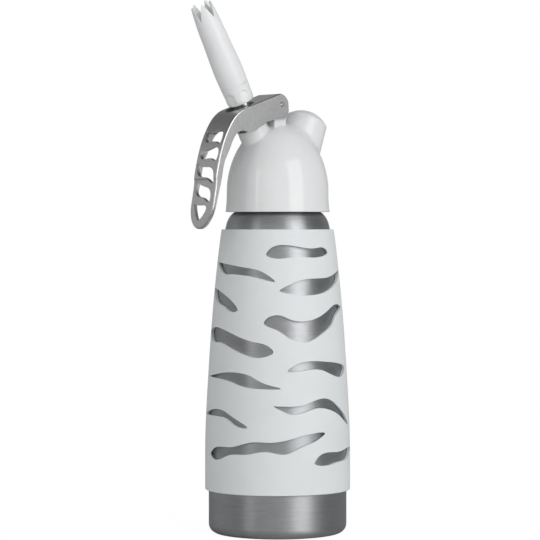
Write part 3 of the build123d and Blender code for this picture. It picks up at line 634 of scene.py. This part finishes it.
class DISPENSER_OT_springs(bpy.types.Operator):
    """Wind the valve spring and the check valve spring"""

    bl_idname = "dispenser.springs"
    bl_label = "Springs"

    def execute(self, context):
        sizes = context.scene.dispenser_springs
        spring_tree()
        spring("valve_spring", "nozzle_turn",
               sizes.valve_wire, sizes.valve_turns, sizes.turn_points)
        spring("check_spring", "cap_turn",
               sizes.check_wire, sizes.check_turns, sizes.turn_points)
        return {"FINISHED"}


# ------------------------------------------------------------------ stage
def seen_from(turn, angle, distance, height):
    """A point at an angle to the right of the camera, as the camera sees it."""
    turned = turn - math.radians(angle)
    return Vector((-math.sin(turned) * distance, -math.cos(turned) * distance, height))


def lamp(name, place, size, power):
    """Rectangular area light that faces the dispenser."""
    light = bpy.data.lights.new(name, "AREA")
    light.shape = "RECTANGLE"
    light.size, light.size_y = size
    light.energy = power
    holder = bpy.data.objects.new(name, light)
    bpy.context.scene.collection.objects.link(holder)
    holder.location = place
    holder.rotation_euler = (Vector(AIM) - place).to_track_quat("-Z", "Y").to_euler()


def backdrop_finish(mirrored_share):
    """Floor that is white to the camera and keeps a soft shadow."""
    finish, tree, shader = new_finish("studio_white")
    shader.inputs["Roughness"].default_value = 0.9
    shader.inputs["Specular IOR Level"].default_value = 0.0
    rays = add(tree, "ShaderNodeLightPath")
    mirrored = add(tree, "ShaderNodeMapRange")
    mirrored.inputs["To Min"].default_value = FLOOR_WHITE
    mirrored.inputs["To Max"].default_value = FLOOR_WHITE * mirrored_share
    tree.links.new(rays.outputs["Is Glossy Ray"], mirrored.inputs["Value"])
    tree.links.new(mirrored.outputs["Result"], shader.inputs["Base Color"])
    glow = add(tree, "ShaderNodeEmission")
    glow.inputs["Strength"].default_value = FLOOR_GLOW
    mix = add(tree, "ShaderNodeMixShader")
    tree.links.new(combined(tree, "MULTIPLY", rays.outputs["Is Camera Ray"], GLOW_SHARE),
                   mix.inputs["Fac"])
    tree.links.new(shader.outputs["BSDF"], mix.inputs[1])
    tree.links.new(glow.outputs["Emission"], mix.inputs[2])
    tree.links.new(mix.outputs["Shader"], tree.nodes["Material Output"].inputs["Surface"])
    return finish


def add_floor(mirrored_share):
    """Square white floor under the dispenser."""
    mesh = bpy.data.meshes.new("floor")
    corners = [(x * FLOOR_REACH, y * FLOOR_REACH, 0)
               for x, y in ((-1, -1), (1, -1), (1, 1), (-1, 1))]
    mesh.from_pydata(corners, [], [(0, 1, 2, 3)])
    mesh.materials.append(backdrop_finish(mirrored_share))
    floor = bpy.data.objects.new("floor", mesh)
    bpy.context.scene.collection.objects.link(floor)


def from_direction(tree, place, facing, limits, strengths):
    """Strength that changes as a ray turns toward a direction."""
    toward = add(tree, "ShaderNodeVectorMath", operation="DOT_PRODUCT")
    toward.inputs[1].default_value = facing
    spread = add(tree, "ShaderNodeMapRange", interpolation_type="SMOOTHSTEP")
    spread.inputs["From Min"].default_value = limits[0]
    spread.inputs["From Max"].default_value = limits[1]
    spread.inputs["To Min"].default_value = strengths[0]
    spread.inputs["To Max"].default_value = strengths[1]
    tree.links.new(place.outputs["Generated"], toward.inputs[0])
    tree.links.new(toward.outputs["Value"], spread.inputs["Value"])
    return spread.outputs["Result"]


def studio_world(stage, front, behind, card):
    """White to the camera and a grey room to the object, brighter in front.

    Gloss and metal mirror a dimmed room with a dark ceiling, the card and a white backdrop.
    """
    world = bpy.data.worlds.new("studio")
    bpy.context.scene.world = world
    world.use_nodes = True
    tree = world.node_tree
    place = add(tree, "ShaderNodeTexCoord")
    rays = add(tree, "ShaderNodeLightPath")
    glossy = rays.outputs["Is Glossy Ray"]

    def lobe(facing, limits, strengths):
        """Strength of one part of the room."""
        return from_direction(tree, place, facing, limits, strengths)

    even = combined(tree, "ADD",
                    lobe(front, FRONT_LIMITS, (stage.room_sides, stage.room_front)),
                    lobe(behind, BACK_LIMITS, (0, stage.room_back)))
    mirrored = combined(tree, "ADD",
                        lobe(front, MIRRORED_LIMITS, (stage.mirrored_share, stage.mirrored_front)),
                        lobe(card, CARD_LIMITS, (0, stage.side_card)))
    under_ceiling = combined(tree, "MULTIPLY", mirrored,
                             lobe((0, 0, 1), CEILING_LIMITS, (1, CEILING_SHARE)))
    dimmed = add(tree, "ShaderNodeMapRange")
    dimmed.inputs["To Min"].default_value = 1.0
    tree.links.new(under_ceiling, dimmed.inputs["To Max"])
    tree.links.new(glossy, dimmed.inputs["Value"])
    room = tree.nodes["Background"]
    room.inputs["Color"].default_value = (1, 1, 1, 1)
    tree.links.new(combined(tree, "MULTIPLY", even, dimmed.outputs["Result"]),
                   room.inputs["Strength"])
    white = add(tree, "ShaderNodeBackground")
    white.inputs["Color"].default_value = (1, 1, 1, 1)
    white.inputs["Strength"].default_value = 1.0
    seen = combined(tree, "MULTIPLY_ADD", glossy, lobe(behind, BACKDROP_LIMITS, (0, 1)),
                    rays.outputs["Is Camera Ray"])
    mix = add(tree, "ShaderNodeMixShader")
    tree.links.new(combined(tree, "ADD", seen, rays.outputs["Is Transmission Ray"]),
                   mix.inputs["Fac"])
    tree.links.new(room.outputs["Background"], mix.inputs[1])
    tree.links.new(white.outputs["Background"], mix.inputs[2])
    tree.links.new(mix.outputs["Shader"], tree.nodes["World Output"].inputs["Surface"])


class DISPENSER_OT_stage(bpy.types.Operator):
    """Set the camera, the floor and the soft studio light"""

    bl_idname = "dispenser.stage"
    bl_label = "Stage"

    def execute(self, context):
        stage = context.scene.dispenser_stage
        turn = stage.turn
        camera = bpy.data.cameras.new("camera")
        camera.lens = stage.lens
        camera.sensor_width = 36.0
        camera.clip_start = 0.05
        viewer = bpy.data.objects.new("camera", camera)
        context.scene.collection.objects.link(viewer)
        viewer.location = seen_from(turn, 0, stage.distance, stage.eye)
        viewer.rotation_euler = (math.radians(90) - stage.pitch, 0, stage.aside - turn)
        context.scene.camera = viewer
        lamp("key", seen_from(turn, *KEY_PLACE), KEY_SIZE, stage.key_power)
        lamp("fill", seen_from(turn, *FILL_PLACE), FILL_SIZE, stage.fill_power)
        studio_world(stage, front=seen_from(turn, *FRONT_PLACE),
                     behind=-seen_from(turn, 0, 1, 0),
                     card=seen_from(turn, *CARD_PLACE).normalized())
        add_floor(stage.mirrored_share)
        context.scene.view_settings.view_transform = "Standard"
        return {"FINISHED"}


class DISPENSER_PT_panel(bpy.types.Panel):
    """Sidebar list of the dispenser's pieces"""

    bl_idname = "DISPENSER_PT_panel"
    bl_label = "Whipped cream dispenser"
    bl_space_type = "VIEW_3D"
    bl_region_type = "UI"
    bl_category = "Dispenser"

    def draw(self, context):
        for operator in STEPS:
            self.layout.operator(operator.bl_idname)
        scene = context.scene
        for group in (scene.dispenser_finish, scene.dispenser_springs, scene.dispenser_stage):
            for name in group.bl_rna.properties.keys():
                if name not in ("rna_type", "name"):
                    self.layout.prop(group, name)


STEPS = (DISPENSER_OT_stage, DISPENSER_OT_finishes, DISPENSER_OT_bottle, DISPENSER_OT_sleeve,
         DISPENSER_OT_head, DISPENSER_OT_lever, DISPENSER_OT_nozzle, DISPENSER_OT_port_cap,
         DISPENSER_OT_charger_port, DISPENSER_OT_valve, DISPENSER_OT_core, DISPENSER_OT_springs)
GROUPS = (DispenserFinish, DispenserSprings, DispenserStage)


def register():
    for group in GROUPS + STEPS + (DISPENSER_PT_panel,):
        bpy.utils.register_class(group)
    bpy.types.Scene.dispenser_finish = bpy.props.PointerProperty(type=DispenserFinish)
    bpy.types.Scene.dispenser_springs = bpy.props.PointerProperty(type=DispenserSprings)
    bpy.types.Scene.dispenser_stage = bpy.props.PointerProperty(type=DispenserStage)


def unregister():
    del bpy.types.Scene.dispenser_stage
    del bpy.types.Scene.dispenser_springs
    del bpy.types.Scene.dispenser_finish
    for group in reversed(GROUPS + STEPS + (DISPENSER_PT_panel,)):
        bpy.utils.unregister_class(group)


def main():
    register()
    for step in STEPS:
        family, name = step.bl_idname.split(".")
        getattr(getattr(bpy.ops, family), name)()


if __name__ == "__main__":
    main()
